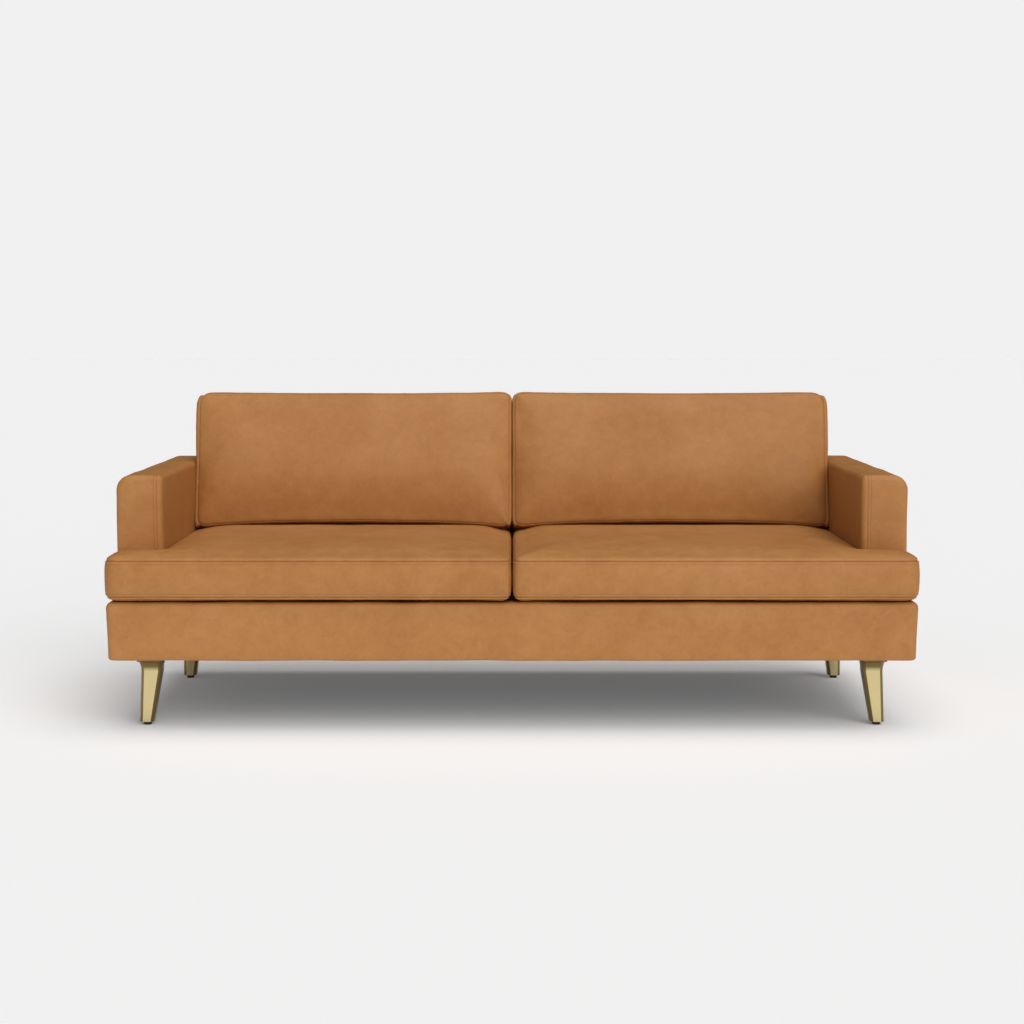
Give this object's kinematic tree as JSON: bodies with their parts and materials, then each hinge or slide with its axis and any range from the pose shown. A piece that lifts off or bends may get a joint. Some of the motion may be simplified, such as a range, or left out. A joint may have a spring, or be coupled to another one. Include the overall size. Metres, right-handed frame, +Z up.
{
  "type": "sofa",
  "caption": "Leather sofa with loose T-shaped seat cushions, loose back cushions, slim square arms, an upholstered base and tapered metal legs on levelling glides.",
  "frame": {"origin": "on the floor, under the middle of the sofa, at the bottom centre of its bounding box", "axes": "+X across the sofa, to the right as seen from the front; +Y from the front to the back; +Z up"},
  "size_m": [2.134, 0.94, 0.8705],
  "materials": {
    "tan_leather": "matte",
    "frame_timber": "matte",
    "foam": "matte",
    "spring_wire": "satin",
    "fixing_steel": "satin",
    "black_cloth": "matte",
    "webbing": "matte",
    "brass_finish": "satin",
    "black_plastic": "matte",
    "zip_metal": "satin",
    "zip_tape": "matte"
  },
  "bodies": {
    "frame": {"base_front_rail": "frame_timber", "base_rear_rail": "frame_timber", "base_centre_stretcher": "frame_timber", "back_top_rail": "frame_timber", "back_bottom_rail": "frame_timber", "back_centre_post": "frame_timber", "base_side_rail_left": "frame_timber", "base_side_rail_right": "frame_timber", "corner_block_front_left": "frame_timber", "corner_block_front_right": "frame_timber", "corner_block_rear_left": "frame_timber", "corner_block_rear_right": "frame_timber", "arm_front_post_left": "frame_timber", "arm_front_post_right": "frame_timber", "arm_rear_post_left": "frame_timber", "arm_rear_post_right": "frame_timber", "arm_top_rail_left": "frame_timber", "arm_top_rail_right": "frame_timber", "back_post_left": "frame_timber", "back_post_right": "frame_timber", "frame_screws": "fixing_steel", "leg_bolts": "fixing_steel", "spring_clips": "fixing_steel", "seat_springs_left": "spring_wire", "seat_springs_right": "spring_wire", "back_webbing": "webbing", "deck_cloth": "black_cloth", "dust_cover": "black_cloth", "base_padding": "foam", "back_padding": "foam", "arm_padding_left": "foam", "arm_padding_right": "foam", "base_cover": "tan_leather", "back_cover": "tan_leather", "arm_cover_left": "tan_leather", "arm_cover_right": "tan_leather", "leg_front_left": "brass_finish", "leg_front_right": "brass_finish", "leg_rear_left": "brass_finish", "leg_rear_right": "brass_finish"},
    "seat_cushion_left": {"seat_cushion_core_left": "foam", "seat_cushion_cover_left": "tan_leather", "seat_cushion_zip_left": "zip_tape"},
    "back_cushion_left": {"back_cushion_core_left": "foam", "back_cushion_cover_left": "tan_leather", "back_cushion_zip_left": "zip_tape"},
    "seat_slider_left": {"seat_zip_slider_left": "zip_metal"},
    "back_slider_left": {"back_zip_slider_left": "zip_metal"},
    "seat_cushion_right": {"seat_cushion_core_right": "foam", "seat_cushion_cover_right": "tan_leather", "seat_cushion_zip_right": "zip_tape"},
    "back_cushion_right": {"back_cushion_core_right": "foam", "back_cushion_cover_right": "tan_leather", "back_cushion_zip_right": "zip_tape"},
    "seat_slider_right": {"seat_zip_slider_right": "zip_metal"},
    "back_slider_right": {"back_zip_slider_right": "zip_metal"},
    "glide_front_left": {"glide_front_left": "black_plastic"},
    "glide_front_right": {"glide_front_right": "black_plastic"},
    "glide_rear_left": {"glide_rear_left": "black_plastic"},
    "glide_rear_right": {"glide_rear_right": "black_plastic"}
  },
  "joints": [
    {"name": "seat_cushion_left_pull_out", "type": "slide", "parent": "frame", "child": "seat_cushion_left", "axis": [0, -1, 0], "range_m": [0, 0.4]},
    {"name": "back_cushion_left_lift_off", "type": "slide", "parent": "frame", "child": "back_cushion_left", "axis": [0, 0.2419, 0.9703], "range_m": [0, 0.3]},
    {"name": "seat_zip_left", "type": "slide", "parent": "seat_cushion_left", "child": "seat_slider_left", "axis": [1, 0, 0], "range_m": [0, 0.59]},
    {"name": "back_zip_left", "type": "slide", "parent": "back_cushion_left", "child": "back_slider_left", "axis": [1, 0, 0], "range_m": [0, 0.59]},
    {"name": "seat_cushion_right_pull_out", "type": "slide", "parent": "frame", "child": "seat_cushion_right", "axis": [0, -1, 0], "range_m": [0, 0.4]},
    {"name": "back_cushion_right_lift_off", "type": "slide", "parent": "frame", "child": "back_cushion_right", "axis": [0, 0.2419, 0.9703], "range_m": [0, 0.3]},
    {"name": "seat_zip_right", "type": "slide", "parent": "seat_cushion_right", "child": "seat_slider_right", "axis": [-1, 0, 0], "range_m": [0, 0.59]},
    {"name": "back_zip_right", "type": "slide", "parent": "back_cushion_right", "child": "back_slider_right", "axis": [-1, 0, 0], "range_m": [0, 0.59]},
    {"name": "glide_front_left_screw", "type": "slide", "parent": "frame", "child": "glide_front_left", "axis": [0, 0, -1], "range_m": [0, 0.008]},
    {"name": "glide_front_right_screw", "type": "slide", "parent": "frame", "child": "glide_front_right", "axis": [0, 0, -1], "range_m": [0, 0.008]},
    {"name": "glide_rear_left_screw", "type": "slide", "parent": "frame", "child": "glide_rear_left", "axis": [0, 0, -1], "range_m": [0, 0.008]},
    {"name": "glide_rear_right_screw", "type": "slide", "parent": "frame", "child": "glide_rear_right", "axis": [0, 0, -1], "range_m": [0, 0.008]}
  ]
}
